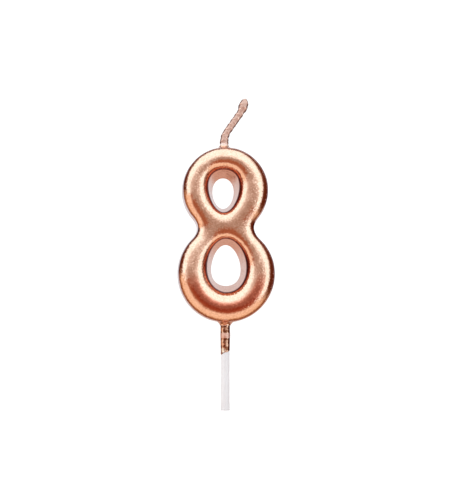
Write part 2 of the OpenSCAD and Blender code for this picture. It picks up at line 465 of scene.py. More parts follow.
@dataclass(frozen=True)
class CandleWax:
    """Pale wax with a slight bloom and light passing through it."""

    name: str = "pale_wax"
    tint: Colour = (0.86, 0.68, 0.61)
    deep: Colour = (0.78, 0.56, 0.48)

    def material(self) -> Any:
        """Build the finish.

        Returns:
            The material.
        """
        material, kit = new_material(self.name)
        where = kit.position()
        bloom = kit.noise(where, 0.9, 5.0)
        grain = kit.noise(where, 0.12, 2.0)
        kit.surface(
            Base_Color=kit.blend(bloom, self.deep, self.tint),
            Roughness=0.42 + (bloom - 0.5) * 0.25,
            Normal=kit.bump(bloom * 0.7 + grain * 0.3, 0.03, 0.8),
            Subsurface_Weight=0.25,
            Subsurface_Radius=(0.9, 0.5, 0.35),
            Subsurface_Scale=0.001,
        )
        return material


@dataclass(frozen=True)
class StickPlastic:
    """White extruded plastic with faint lines along it."""

    name: str = "white_stick_plastic"
    tint: Colour = (0.70, 0.675, 0.685)
    deep: Colour = (0.65, 0.625, 0.635)

    def material(self) -> Any:
        """Build the finish.

        Returns:
            The material.
        """
        material, kit = new_material(self.name)
        where = kit.position()
        drawn = kit.make("ShaderNodeMapping", {}, Vector=where, Scale=(1.0, 1.0, 0.03))
        lines = kit.noise(drawn.outputs[0], 0.22, 3.0)
        cloud = kit.noise(where, 1.6, 3.0)
        kit.surface(
            Base_Color=kit.blend(
                kit.band(lines * 0.6 + cloud * 0.4, 0.3, 0.7), self.deep, self.tint
            ),
            Roughness=0.33 + (cloud - 0.5) * 0.16,
            Normal=kit.bump(lines, 0.02, 0.6),
            Subsurface_Weight=0.15,
            Subsurface_Radius=(0.6, 0.55, 0.5),
            Subsurface_Scale=0.001,
        )
        return material


@dataclass(frozen=True)
class Cotton:
    """Plain waxed cotton of the buried wick."""

    name: str = "waxed_cotton"
    tint: Colour = (0.90, 0.84, 0.74)
    deep: Colour = (0.72, 0.62, 0.50)

    def material(self) -> Any:
        """Build the finish.

        Returns:
            The material.
        """
        material, kit = new_material(self.name)
        where = kit.position()
        fibre = kit.noise(where, 0.18, 4.0)
        kit.surface(
            Base_Color=kit.blend(fibre, self.deep, self.tint),
            Roughness=0.62 + (fibre - 0.5) * 0.2,
            Normal=kit.bump(fibre, 0.06, 0.8),
        )
        return material


@dataclass(frozen=True)
class CoatedCotton:
    """Wick yarns stiffened with wax and lacquer.

    The yarn mask attribute is 1 on the outermost yarns, less between them, and
    least along the two edges of the flat plait. Where it is low the deep colour
    is painted shade, and on the outermost yarns the pale colour is painted
    highlight.
    """

    name: str = "lacquered_wick"
    tint: Colour = (0.80, 0.50, 0.41)
    # Painted shade colour between the yarns and along the plait's edges.
    deep: Colour = (0.15, 0.05, 0.035)
    # Painted highlight colour on the outermost yarns.
    pale: Colour = (0.90, 0.68, 0.60)

    def material(self) -> Any:
        """Build the finish.

        Returns:
            The material.
        """
        material, kit = new_material(self.name)
        where = kit.position()
        yarn_light_and_shade = kit.attribute("yarn_light_and_shade")
        clouds = kit.noise(where, 0.7, 3.0)
        fibre = kit.noise(where, 0.1, 3.0)
        # Painted shade where the yarn mask is low, and painted highlight on the outermost yarns.
        body = kit.blend(yarn_light_and_shade + (clouds - 0.5) * 0.5, self.deep, self.tint)
        bright = kit.band(yarn_light_and_shade * 0.6 + clouds * 0.6, 0.8, 1.1)
        kit.surface(
            Base_Color=kit.blend(bright, body, self.pale),
            Metallic=0.5 + (clouds - 0.5) * 0.3,
            Roughness=0.40 + (clouds - 0.5) * 0.2,
            Normal=kit.bump(fibre, 0.025, 0.6),
        )
        return material


# -------------------------------------------------------------- mesh helpers


def smooth(t: Array) -> Array:
    """Smooth step of t, clamped from 0 to 1."""
    c = np.clip(t, 0.0, 1.0)
    return c * c * (3.0 - 2.0 * c)


def bell(t: Array, power: int = 2) -> Array:
    """Bell of t, e to the minus t to an even power: the higher, the flatter."""
    return np.exp(-(t**power))


def grid_faces(rows: int, columns: int) -> Array:
    """Number the quads of a grid of points whose rows are closed loops.

    Args:
        rows: number of rows.
        columns: number of points in a row.

    Returns:
        Four point numbers for each quad.
    """
    r, c = np.meshgrid(np.arange(rows - 1), np.arange(columns), indexing="ij")
    n = (c + 1) % columns
    a, b = r * columns + c, r * columns + n
    return np.stack([a, b, b + columns, a + columns], -1).reshape(-1, 4)


class Shell:
    """Grids of points, each row a closed loop, gathered into one welded mesh."""

    def __init__(self) -> None:
        """Start with no points."""
        self.points: list[Array] = []
        self.faces: list[Array] = []
        self.marks: list[Array] = []
        self.count = 0

    def add(self, grid: Array, flip: bool = False, mark: Array | None = None) -> None:
        """Add one grid.

        Args:
            grid: points in millimetres, rows by columns by 3.
            flip: turn the faces over.
            mark: a value for each point, kept as an attribute.
        """
        rows, columns = grid.shape[:2]
        faces = grid_faces(rows, columns) + self.count
        self.faces.append(faces[:, ::-1] if flip else faces)
        self.points.append(grid.reshape(-1, 3))
        self.marks.append(np.zeros(rows * columns) if mark is None else mark.reshape(-1))
        self.count += rows * columns

    def make(self, name: str, finish: Any, mark_name: str = "") -> Any:
        """Weld the grids and make the object.

        Points that agree to a hundred-thousandth of a millimetre become one,
        and a quad that lost a corner becomes a triangle.

        Args:
            name: the object's name.
            finish: its material.
            mark_name: name of the attribute made from the marks.

        Returns:
            The object, at the origin.
        """
        points = np.concatenate(self.points)
        _, first, back = np.unique(
            np.round(points, 5), axis=0, return_index=True, return_inverse=True
        )
        faces = back.reshape(-1)[np.concatenate(self.faces)]
        same = faces == np.roll(faces, -1, axis=1)
        lost = same.sum(1)
        quads = faces[lost == 0]
        three = faces[lost == 1]
        keep = ~same[lost == 1]
        triangles = three[keep].reshape(-1, 3)
        mesh = bpy.data.meshes.new(name)
        mesh.from_pydata(points[first] * MM, [], quads.tolist() + triangles.tolist())
        mesh.polygons.foreach_set("use_smooth", np.ones(len(mesh.polygons), bool))
        if mark_name:
            values = np.concatenate(self.marks)[first].astype(np.float32)
            attribute = mesh.attributes.new(mark_name, "FLOAT", "POINT")
            attribute.data.foreach_set("value", values)
        mesh.validate()
        mesh.update()
        mesh.materials.append(finish)
        item = bpy.data.objects.new(name, mesh)
        bpy.context.scene.collection.objects.link(item)
        return item


def hand_over(item: Any, body: Body, slot: Slot, *nodes: str) -> None:
    """Give a finished piece to its body and report it.

    Args:
        item: the piece.
        body: the body it rides on.
        slot: its material slot; not used.
        nodes: CAD nodes that it replaces.
    """
    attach(item, body.value)
    if nodes:
        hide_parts(*nodes)
    LOG.info("%s: %d faces, on %s", item.name, len(item.data.polygons), body.value)


# ----------------------------------------------------------------- the figure


@dataclass(frozen=True)
class Egg:
    """Egg-shaped opening, blunt end up where egg is below zero."""

    middle: float
    half_width: float
    half_height: float
    egg: float
    across: float = 0.0

    def stretch(self) -> float:
        """Half width at the middle that gives the greatest half width."""
        k = self.egg
        w = 0.0 if abs(k) < 0.01 else (math.sqrt(1 - k * k) - 1) / k
        return self.half_width / math.sqrt((1 - w * w) / (1 + k * w))

    def rim(self, angle: Array) -> Array:
        """Points on the rim.

        Across is a cosine over the root of 1 plus egg times a sine, and up is
        the sine.

        Args:
            angle: places round the rim in radians.

        Returns:
            X and Z of each place.
        """
        s = np.sin(angle)
        x = self.across + self.stretch() * np.cos(angle) / np.sqrt(1 + self.egg * s)
        return np.stack([x, self.middle + self.half_height * s], -1)

    def outside(self, x: Array, z: Array) -> Array:
        """Distance outside the rim, to first order.

        The egg's own radius function less 1, over the length of its slope.

        Args:
            x: places across.
            z: their heights.

        Returns:
            The distance of each place, below 0 inside the rim.
        """
        a = self.stretch()
        x = x - self.across
        u = (z - self.middle) / self.half_height
        q = np.maximum(0.05, 1 + self.egg * u)
        r = np.sqrt(x * x / (a * a) * q + u * u)
        dx = 2 * x * q / (a * a)
        dz = (self.egg * x * x / (a * a) + 2 * u) / self.half_height
        return (r - 1) * 2 * r / np.maximum(np.hypot(dx, dz), 1e-9)

    def drawn_in(self, side: float, end: float, shift: float = 0.0, egg: float = 0.0) -> "Egg":
        """The same egg, smaller.

        Args:
            side: how far each side moves in.
            end: how far each end moves in.
            shift: how far the middle moves up.
            egg: what is added to the egg shape.

        Returns:
            The new egg.
        """
        return Egg(
            self.middle + shift,
            self.half_width - side,
            self.half_height - end,
            self.egg + egg,
            self.across,
        )


def crown_share(u: Array) -> Array:
    """Share of the way over the crown, 0 at the rim, with closer steps at both ends.

    Nine parts of a half cosine wave and one part of a straight line.
    """
    return 0.45 * (1 - np.cos(np.pi * u)) + 0.1 * u


@dataclass(frozen=True)
class PaintedShadeBelts:
    """Painted shade and painted dark reflection that darken the figure's coat.

    It lies along an eye's rim as painted crease shade, and along the crown's
    outer edge and on the lowest stroke as painted dark reflection. Each belt
    is a flat bell of the distance from its line. Widths are half widths in
    millimetres, on the lowest stroke shares of the way over its crown, and
    depths are shares of the darkest shade.
    """

    rim_side: float = 1.6
    rim_top: float = 0.36
    rim_foot: float = 0.74
    rim_wall: float = 0.2
    rim_depth: float = 0.95
    rim_fade: float = 0.1
    edge_flat: float = 0.28
    edge_side: float = 0.48
    edge_right: float = 0.15
    edge_foot: float = 0.1
    edge_depth: float = 0.8
    foot_tilt: float = 0.2
    foot_from: float = 0.05
    foot_over: float = 0.25
    low_from: float = 0.1
    low_over: float = 0.6
    low_middle: float = 0.52
    low_width: float = 0.15
    low_depth: float = 0.31

    def by_rim(self, sheet: Array, first: int, rise: Array) -> Array:
        """Belt of painted crease shade along an eye's rim, widest at its sides and narrow on the
        wall.

        Args:
            sheet: points from the eye's back edge over the crown.
            first: number of rows on the wall.
            rise: sine of each column's angle round the eye.

        Returns:
            The painted shade at each point.
        """
        row = np.arange(len(sheet))[:, None]
        over, under = np.maximum(rise, 0), np.maximum(-rise, 0)
        wide = self.rim_side - (self.rim_side - self.rim_top) * over
        wide = wide - (self.rim_side - self.rim_foot) * under
        wide = np.where(row < first, self.rim_wall, wide)
        away = np.linalg.norm(sheet - sheet[first - 1][None], axis=-1)
        return (self.rim_depth - self.rim_fade * np.abs(rise)) * bell(away / wide, 6)

    def by_edge(self, sheet: Array, free_steps: int) -> Array:
        """Belt of painted dark reflection along the crown's outer edge, wide where it faces
        sideways.

        The edge's outward direction is its slope turned a quarter. Where that
        points down the belt is narrow.

        Args:
            sheet: points from the eye's back edge over the crown.
            free_steps: number of columns that end at the outer edge.

        Returns:
            The painted shade at each point.
        """
        along = np.gradient(sheet[-1][:, ::2], axis=0)
        out_x, out_z = along[:, 1], -along[:, 0]
        size = np.maximum(np.hypot(out_x, out_z), 1e-9)
        out_x, out_z = out_x / size, out_z / size
        below = smooth((-out_z - self.foot_tilt * out_x - self.foot_from) / self.foot_over)
        wide = self.edge_flat + self.edge_side * np.abs(out_x) + self.edge_right * out_x
        wide = wide * (1 - below) + self.edge_foot * below
        away = np.linalg.norm(sheet - sheet[-1][None], axis=-1)
        free = np.arange(sheet.shape[1]) < free_steps
        return self.edge_depth * free * bell(away / wide[None], 6)

    def by_foot(self, sheet: Array, first: int, rise: Array) -> Array:
        """Belt of painted dark reflection along the middle of the lowest stroke.

        Args:
            sheet: points from the eye's back edge over the crown.
            first: number of rows on the wall.
            rise: sine of each column's angle round the eye.

        Returns:
            The painted shade at each point.
        """
        row = np.arange(len(sheet))[:, None]
        u = (row - first + 1) / (len(sheet) - first)
        low = smooth((-rise - self.low_from) / self.low_over)
        across = bell((crown_share(u) - self.low_middle) / self.low_width, 4)
        return self.low_depth * low * across * (u > 0)

    def depth(self, sheet: Array, first: int, around: Array, side: int, free_steps: int) -> Array:
        """Sum of the belts on one loop.

        Args:
            sheet: points from the eye's back edge over the crown.
            first: number of rows on the wall, whose last one is the rim.
            around: angle of each column round the eye.
            side: 1 for the upper loop, -1 for the lower one.
            free_steps: number of columns that end at the outer edge.

        Returns:
            The painted shade at each point, where 1 is the darkest.
        """
        rise = np.sin(around)[None]
        # Painted shade: crease shade at the rim, and dark reflections at the outer edge and, on
        # the lower loop, the lowest stroke.
        painted_shade = self.by_rim(sheet, first, rise) + self.by_edge(sheet, free_steps)
        if side < 0:
            painted_shade = painted_shade + self.by_foot(sheet, first, rise)
        return np.minimum(painted_shade, 1.0)


@dataclass
class FigureSkin:
    """Metallic skin of the wax figure 8.

    The plan is two discs joined by a soft blend, with two eyes. The side
    walls lean in to the crown's edge, and the crown over an even stroke is an
    ellipse without its steep edge. Sizes are millimetres.
    """

    upper_z: float = 61.2
    upper_r: float = 12.05
    lower_z: float = 37.9
    waist_blend: float = 4.5
    blend_growth: float = 1.5
    wall_depth: float = 6.0
    wall_draft: float = 0.35
    crown_height: float = 2.5
    crown_cut: float = 0.43
    foot_shift: float = 0.3
    nominal_half: float = 3.2
    skin: float = 0.11
    edge_round: float = 0.45
    upper_eye: Egg = Egg(60.95, 4.45, 6.1, -0.42, -0.5)
    lower_eye: Egg = Egg(40.2, 5.6, 7.55, 0.16)
    eye_side_draft: float = 1.45
    eye_end_draft: float = 1.8
    back_egg: float = 0.24
    back_shift: tuple[float, float] = (-0.35, 0.1)
    free_steps: int = 288
    waist_steps: int = 56
    crown_rows: int = 84
    wall_rows: int = 14
    turn_rows: int = 8
    back_rows: int = 9
    crowding: float = 0.09
    outline_reach: float = 16.0
    wave_height: float = 0.014
    wave_depth: float = 0.018
    end_reach: float = 2.2
    neck_r: float = 1.45
    neck_fall: float = 0.5
    neck_drop: float = 0.75
    crater_r: float = 1.2
    crater_fall: float = 0.45
    crater_rise: float = 0.6
    # Belts of painted shade and painted dark reflection on the coat.
    painted_shade_belts: PaintedShadeBelts = PaintedShadeBelts()
    lower_r: float = field(init=False)
    back_y: float = field(init=False)
    edge_y: float = field(init=False)
    seam_z: float = field(init=False)

    def __post_init__(self) -> None:
        """Read the width and the back from the CAD coat, and work out the waist."""
        low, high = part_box("body_coat")
        self.lower_r = (high.x - low.x) / 2 / MM - self.skin
        self.back_y = high.y / MM - self.skin
        self.edge_y = self.back_y - self.wall_depth
        top, bottom = self.upper_z - self.upper_r, self.lower_z + self.lower_r
        self.seam_z = (top + bottom) / 2

    def inside(self, x: Array, z: Array, inset: Array | float) -> Array:
        """Depth inside the outline drawn in by inset.

        The root of the sum of squares of the depths inside the two discs,
        each counted from a blend's width outside, less that width.

        Args:
            x: places across.
            z: their heights.
            inset: how far the outline is drawn in.

        Returns:
            The depth of each place, below 0 outside.
        """
        b = self.waist_blend + self.blend_growth * inset
        f = b + self.upper_r - inset - np.hypot(x, z - self.upper_z)
        g = b + self.lower_r - inset - np.hypot(x, z - self.lower_z)
        return np.hypot(np.maximum(0, f), np.maximum(0, g)) - b

    def leave(
        self, start: tuple[float, float], d: Array, low: Array, high: Array, inset: float
    ) -> Array:
        """Distance along rays at which they leave the outline, by halving.

        Args:
            start: X and Z of the rays' common start.
            d: their directions.
            low: distances known to be inside.
            high: distances known to be outside.
            inset: how far the outline is drawn in.

        Returns:
            A distance for each ray.
        """
        for _ in range(40):
            m = (low + high) / 2
            within = self.inside(start[0] + m * d[..., 0], start[1] + m * d[..., 1], inset) > 0
            low, high = np.where(within, m, low), np.where(within, high, m)
        return (low + high) / 2

    def waist_half(self, inset: float) -> float:
        """Half width of the figure at the waist line.

        Args:
            inset: how far the outline is drawn in.

        Returns:
            The half width.
        """
        one = np.array([[1.0, 0.0]])
        got = self.leave((0.0, self.seam_z), one, np.array([4.0]), np.array([12.0]), inset)
        return float(got[0])

    def ring(self, side: int, centre: float, inset: float) -> Array:
        """Outline of one loop seen from its eye.

        The free side comes first, with its steps closer together at the
        waist, then the waist line that both loops share.

        Args:
            side: 1 for the upper loop, -1 for the lower one.
            centre: height of the loop's eye.
            inset: how far the outline is drawn in.

        Returns:
            X and Z of each point.
        """
        half = self.waist_half(inset)
        dip = math.atan2(abs(self.seam_z - centre), half)
        start = -dip if side > 0 else math.pi - dip
        u = np.arange(self.free_steps + 1) / self.free_steps
        crowded = u - self.crowding * np.sin(2 * np.pi * u)
        angle = start + (math.pi + 2 * dip) * crowded
        d = np.stack([np.cos(angle), np.sin(angle)], -1)
        toward = (self.seam_z - centre) / np.where(np.abs(d[:, 1]) < 1e-9, 1e-9, d[:, 1])
        far = self.outline_reach
        high = np.where((toward > 0) & (toward < far), toward, far)
        reach = self.leave((0.0, centre), d, np.full_like(high, 2.0), high, inset)
        free = np.array([0.0, centre]) + d * reach[:, None]
        free[0], free[-1] = (side * half, self.seam_z), (-side * half, self.seam_z)
        v = np.arange(1, self.waist_steps) / self.waist_steps
        waist = np.stack([side * half * (2 * v - 1), np.full_like(v, self.seam_z)], -1)
        return np.concatenate([free, waist])

    def crown(self, x: Array, z: Array) -> Array:
        """Height of the crown over its edge.

        The depths inside the outline and outside both eyes are combined as
        resistors in parallel. The height over an even stroke is an ellipse
        without its steep edge.

        Args:
            x: places across.
            z: their heights.

        Returns:
            The crown's height at each place.
        """
        depths = [
            self.inside(x, z, self.wall_draft - self.skin),
            self.upper_eye.drawn_in(self.skin, self.skin).outside(x, z),
            self.lower_eye.drawn_in(self.skin, self.skin).outside(x, z),
        ]
        safe = [np.maximum(d, 1e-7) for d in depths]
        joined = 1 / sum(1 / d for d in safe)
        c = self.crown_cut
        part = (np.sqrt(c * c + 2 * joined / self.nominal_half) - c) / (math.hypot(c, 1) - c)
        rise = (self.crown_height + self.skin / 2) * part
        return np.where(np.minimum.reduce(depths) < 1e-5, 0.0, rise)

    def eye_at(self, side: int, share: float, extra: float = 0.0) -> Egg:
        """An eye's outline at one depth.

        Args:
            side: 1 for the upper eye, -1 for the lower one.
            share: share of the depth, 0 at the crown's edge and 1 at the back.
            extra: how far the outline opens at the rounded back edge.

        Returns:
            The outline.
        """
        eye = self.upper_eye if side > 0 else self.lower_eye
        shift = self.back_shift[0 if side > 0 else 1]
        return eye.drawn_in(
            self.skin + self.eye_side_draft * share - extra,
            self.skin + self.eye_end_draft * share - extra,
            shift * share,
            self.back_egg * share,
        )

    def wall_path(self) -> tuple[Array, Array, Array]:
        """Section of a side wall, from the crown's edge to the flat back.

        A straight line, then a quarter circle into the back.

        Returns:
            Share of the draft, depth Y and inset of each row.
        """
        line = np.linspace(0, 1, self.wall_rows, endpoint=False)
        depth = self.wall_depth + self.skin
        stop = 1 - self.edge_round / depth
        turn = np.linspace(0, math.pi / 2, self.turn_rows)
        share = np.concatenate([line * stop, stop + (1 - stop) * np.sin(turn)])
        y = self.edge_y + depth * share
        inset = np.concatenate([line * 0, self.edge_round * (1 - np.cos(turn))])
        return share, y, inset

    def waved(self, grid: Array) -> Array:
        """Add the unevenness of poured wax, and draw the skin to the neck and the wick.

        The unevenness is two products of slow sines. The lower loop stands a
        little to the right. Near the stick the foot is drawn down, and near
        the wick the top is drawn up, each by a bell of the distance.

        Args:
            grid: points of the even skin.

        Returns:
            The points moved.
        """
        x, y, z = grid[..., 0], grid[..., 1], grid[..., 2]
        wave = np.sin(0.9 * x + 0.5 * z + 1.0) * np.cos(0.7 * z - 0.6 * y + 0.4)
        wave = wave + 0.6 * np.sin(1.7 * x - 1.1 * z + 2.0) * np.sin(1.3 * y + 0.8 * z)
        out = grid.copy()
        x = x + self.foot_shift * (1 - smooth((z - self.lower_z - 2) / 18))
        out[..., 0] = x + self.wave_height * wave
        out[..., 1] += self.wave_depth * wave * (y < self.back_y - 0.5)
        out[..., 2] += self.wave_height * np.roll(wave, 3)
        off_stick = np.maximum(np.hypot(x, y) - self.neck_r, 0)
        low_end = z < self.lower_z - self.lower_r + self.end_reach
        out[..., 2] -= self.neck_drop * bell(off_stick / self.neck_fall) * low_end
        off_wick = np.maximum(np.hypot(x - wick_root()[0], y) - self.crater_r, 0)
        top_end = z > self.upper_z + self.upper_r - self.end_reach
        out[..., 2] += self.crater_rise * bell(off_wick / self.crater_fall) * top_end
        return out

    def deep(self, plan: Array, y: Array | float) -> Array:
        """Put X and Z of a plan at depth Y."""
        return np.stack([plan[..., 0], np.broadcast_to(y, plan.shape[:-1]), plan[..., 1]], -1)

    def build(self, finish: Any) -> Any:
        """Make the skin of both loops, closed at the back.

        Args:
            finish: the metallic coat.

        Returns:
            The object.
        """
        shell = Shell()
        share, y, inset = self.wall_path()
        walls: list[Array] = []
        for side, eye in ((1, self.upper_eye), (-1, self.lower_eye)):
            centre = eye.middle
            front = self.ring(side, centre, self.wall_draft - self.skin)
            around = np.arctan2(front[:, 1] - centre, front[:, 0] - eye.across)
            inner = [
                self.deep(self.eye_at(side, s, i).rim(around), d)
                for s, d, i in zip(share, y, inset)
            ]
            rim = self.eye_at(side, 0.0).rim(around)
            t = crown_share(np.linspace(0, 1, self.crown_rows))[:, None, None]
            plan = rim[None] + (front - rim)[None] * t
            rise = self.crown(plan[..., 0], plan[..., 1])
            rise[0] = 0.0
            rise[-1, : self.free_steps + 1] = 0.0
            face = self.deep(plan, self.edge_y - rise)
            sheet = np.concatenate([np.stack(inner)[::-1], face[1:]])
            # Painted shade and painted dark reflection, kept on the skin as a point attribute.
            painted_shade = self.painted_shade_belts.depth(sheet, len(inner), around, side, self.free_steps)
            shell.add(self.waved(sheet), flip=True, mark=painted_shade)
            outer = [
                self.deep(self.ring(side, centre, self.wall_draft * (1 - s) - self.skin + i), d)
                for s, d, i in zip(share, y, inset)
            ]
            walls.append(np.stack(outer)[:, : self.free_steps + 1])
            last = outer[-1]
            v = np.linspace(0, 1, self.back_rows)[:, None, None]
            shell.add(self.waved(last[None] * (1 - v) + inner[-1][None] * v), flip=True)
        wall = np.concatenate([walls[0][:, :-1], walls[1][:, :-1]], axis=1)
        shell.add(self.waved(wall), flip=True)
        # The painted shade goes on the skin as a point attribute.
        return shell.make("figure_coat", finish, "painted_shade")


# ---------------------------------------------------------------- wax beads


def turned(profile: Array, centre: Sequence[float], steps: int, wobble: float) -> Array:
    """Turn a profile round an upright axis, its radius wavering by three sines.

    Args:
        profile: radius and height of each row.
        centre: X and Y of the axis.
        steps: number of points round it.
        wobble: how uneven the radius is, as a share.

    Returns:
        A grid of points.
    """
    a = np.arange(steps) / steps * 2 * np.pi
    uneven = 1 + wobble * (np.sin(2 * a + 0.7) + 0.6 * np.sin(3 * a + 2.1) + 0.3 * np.sin(5 * a))
    r = profile[:, 0, None] * uneven[None]
    return np.stack(
        [
            centre[0] + r * np.cos(a),
            centre[1] + r * np.sin(a),
            np.broadcast_to(profile[:, 1, None], r.shape),
        ],
        -1,
    )


def rounded(corners: Sequence[tuple[float, float]], passes: int = 3) -> Array:
    """Round a profile's corners by cutting each off at its quarters.

    Args:
        corners: the profile's corners in order.
        passes: how many times they are cut.

    Returns:
        The points of the rounded profile.
    """
    path = np.array(corners, float)
    for _ in range(passes):
        a = path[:-1] * 0.75 + path[1:] * 0.25
        b = path[:-1] * 0.25 + path[1:] * 0.75
        path = np.concatenate([path[:1], np.stack([a, b], 1).reshape(-1, 2), path[-1:]])
    return path


@dataclass
class WaxBeads:
    """Flared collar round the stick, crater round the wick and its wax foot."""

    steps: int = 96
    foot_z: float = field(init=False)
    rim_z: float = field(init=False)

    def __post_init__(self) -> None:
        """Read the collar's foot and the crater's rim from the CAD coat."""
        low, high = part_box("body_coat")
        self.foot_z = low.z / MM
        self.rim_z = high.z / MM

    def collar(self, finish: Any) -> Any:
        """Make the flared collar, closed on itself inside the wax.

        Args:
            finish: the metallic coat.

        Returns:
            The object.
        """
        f = self.foot_z
        path = rounded(
            [
                (1.22, f + 0.02), (1.36, f - 0.03), (1.53, f + 0.02), (1.6, f + 0.3),
                (1.6, f + 0.55), (1.68, f + 0.85), (1.95, f + 1.25), (2.5, f + 1.65),
                (2.5, f + 2.1), (1.22, f + 2.1), (1.22, f + 0.02),
            ]
        )
        shell = Shell()
        shell.add(turned(path, (0.0, 0.0), self.steps, 0.006))
        return shell.make("stick_collar", finish)

    def crater(self, finish: Any) -> Any:
        """Make the coated crater that the wick comes out of.

        Args:
            finish: the metallic coat.

        Returns:
            The object.
        """
        r = self.rim_z
        path = rounded(
            [
                (1.2, r - 0.6), (1.22, r - 0.05), (1.3, r + 0.03), (1.4, r - 0.1),
                (1.48, r - 0.45), (1.72, r - 0.85), (2.3, r - 1.25), (2.4, r - 1.9),
                (1.24, r - 1.9), (1.2, r - 0.6),
            ]
        )
        shell = Shell()
        shell.add(turned(path, wick_root()[:2], self.steps, 0.01), flip=True)
        return shell.make("wick_crater", finish)

    def foot(self, finish: Any) -> Any:
        """Make the little bead of bare wax that climbs the wick's root.

        Args:
            finish: the wax.

        Returns:
            The object.
        """
        r = self.rim_z
        path = rounded(
            [
                (0.55, r - 0.5), (1.19, r - 0.5), (1.21, r - 0.02), (1.2, r + 0.2),
                (1.14, r + 0.42), (1.1, r + 0.62), (0.9, r + 0.72), (0.55, r + 0.7),
                (0.55, r - 0.5),
            ]
        )
        shell = Shell()
        shell.add(turned(path, wick_root()[:2], self.steps, 0.02))
        return shell.make("wick_foot", finish)


# ------------------------------------------------------------------ the wick


@dataclass
class Wick:
    """Free end of the wick, three plaited strands dipped in lacquer.

    The middle line leans over smoothly and straightens a little at the tip.
    A strand swings across the line as a sine and through its depth as a sine
    of twice the angle, which plaits three strands a third of a turn apart.
    Lengths are millimetres and leans degrees.
    """

    free: float = 14.5
    below: float = 0.55
    lean: float = 35.0
    lean_over: float = 4.6
    back: float = 17.0
    back_from: float = 9.2
    back_over: float = 3.2
    pitch: float = 5.0
    body_full: float = 1.05
    root_full: float = 0.22
    bulb_full: float = 0.34
    bulb_from: float = 10.4
    tip_length: float = 2.4
    core_half: float = 0.93
    core_flat: float = 0.8
    swing: float = 0.614
    weave: float = 0.425
    strand_r: float = 0.32
    yarn_ridge: float = 0.02
    yarn_pitch: float = 1.1
    joining: int = 12
    # Painted shade between the yarns and along the plait's two edges.
    shade_between_yarns: float = 0.62
    edge_shade: float = 0.95
    edge_from: float = 0.66
    edge_over: float = 0.26
    stations: int = 300
    sides: int = 112
    pivot: Array = field(default_factory=wick_root)

    def line(self) -> tuple[Array, Array, Array]:
        """Middle line of the wick.

        Returns:
            Distance along it from the pivot, its X and Z, and its lean.
        """
        s = np.linspace(-self.below, self.free, self.stations)
        upright = self.back * smooth((s - self.back_from) / self.back_over)
        lean = np.radians(self.lean * smooth(s / self.lean_over) - upright)
        step = s[1] - s[0]
        mid = (lean[:-1] + lean[1:]) / 2
        x = np.concatenate([[0.0], np.cumsum(np.sin(mid))]) * step
        z = np.concatenate([[0.0], np.cumsum(np.cos(mid))]) * step - self.below
        return s, np.stack([self.pivot[0] + x, self.pivot[2] + z], -1), lean

    def fullness(self, s: Array) -> Array:
        """Fullness of the plait along it, greater at the root and before the tip.

        Below the pivot it follows a circle inwards, and the tip is nearly a
        half ellipse.

        Args:
            s: distance along the wick from the pivot.

        Returns:
            The fullness at each distance, about 1.
        """
        root = np.sqrt(np.maximum(0.1, 1.21 - np.minimum(s, 0) ** 2)) / 1.1
        bulb = self.bulb_full * smooth((s - self.bulb_from) / 1.6)
        end = np.maximum(0, s - self.free + self.tip_length) / self.tip_length
        tip = np.maximum(0.0, 1 - end**2) ** 0.58
        low = self.root_full * (1 - smooth((s - 0.3) / 4))
        return (self.body_full + low + bulb) * root * tip

    def build(self, finish: Any) -> Any:
        """Make the dipped plait as one surface round the middle line.

        In each direction from the middle line the surface lies where the
        outermost strand does, or at an elliptical core between strands. The
        choice is softened by adding the distances as twelfth powers. A
        strand's own surface carries the ridges of its twisted yarns, a sine
        of the angle round the strand and of the distance along it.

        Args:
            finish: the lacquered cotton.

        Returns:
            The object.
        """
        s, line, lean = self.line()
        full = np.maximum(self.fullness(s), 1e-4)[:, None]
        q = (np.arange(self.sides) / self.sides * 2 * np.pi)[None]
        ex, ey = np.cos(q), np.sin(q)
        core = self.core_half / np.sqrt(ex**2 + (ey / self.core_flat) ** 2) + 0 * full
        power = core**self.joining
        for strand in range(3):
            phase = 2 * np.pi * (s / self.pitch + strand / 3)[:, None]
            u, v = self.swing * np.sin(phase), self.weave * np.sin(2 * phase)
            along = u * ex + v * ey
            under = self.strand_r**2 - u * u - v * v + along**2
            hit = np.maximum(along + np.sqrt(np.maximum(under, 0)), 0.05)
            own = np.arctan2(hit * ey - v, hit * ex - u)
            turns = 2 * np.pi * s[:, None] / self.yarn_pitch
            yarn = self.yarn_ridge * np.sin(4 * own - turns + strand)
            power = power + np.where(under > 0, (hit + yarn) ** self.joining, 0)
        reach = power ** (1 / self.joining)
        lump = 1 + 0.025 * np.sin(2.9 * s[:, None] + 2 * q) + 0.02 * np.sin(5.3 * s[:, None] - q)
        size = reach * full * lump
        grid = np.stack(
            [
                line[:, 0, None] + size * ex * np.cos(lean)[:, None],
                self.pivot[1] + size * ey,
                line[:, 1, None] - size * ex * np.sin(lean)[:, None],
            ],
            -1,
        )
        first, last = (
            np.broadcast_to(end.mean(1, keepdims=True), end.shape)
            for end in (grid[:1], grid[-1:])
        )
        # Painted light and shade mask: 1 on the outermost yarns for the painted highlight, lower
        # between the yarns and along the plait's two edges for painted shade.
        between = self.shade_between_yarns
        yarn_light_and_shade = between + (1 - between) * smooth((reach / core - 0.98) / 0.2)
        edge = smooth((np.abs(ex) - self.edge_from) / self.edge_over)
        yarn_light_and_shade = yarn_light_and_shade * (1 - self.edge_shade * edge)
        shell = Shell()
        shell.add(
            np.concatenate([first, grid, last]),
            flip=True,
            mark=np.concatenate([yarn_light_and_shade[:1], yarn_light_and_shade, yarn_light_and_shade[-1:]]),
        )
        return shell.make("wick_plait", finish, "yarn_light_and_shade")


# ----------------------------------------------------------- coat on the stick


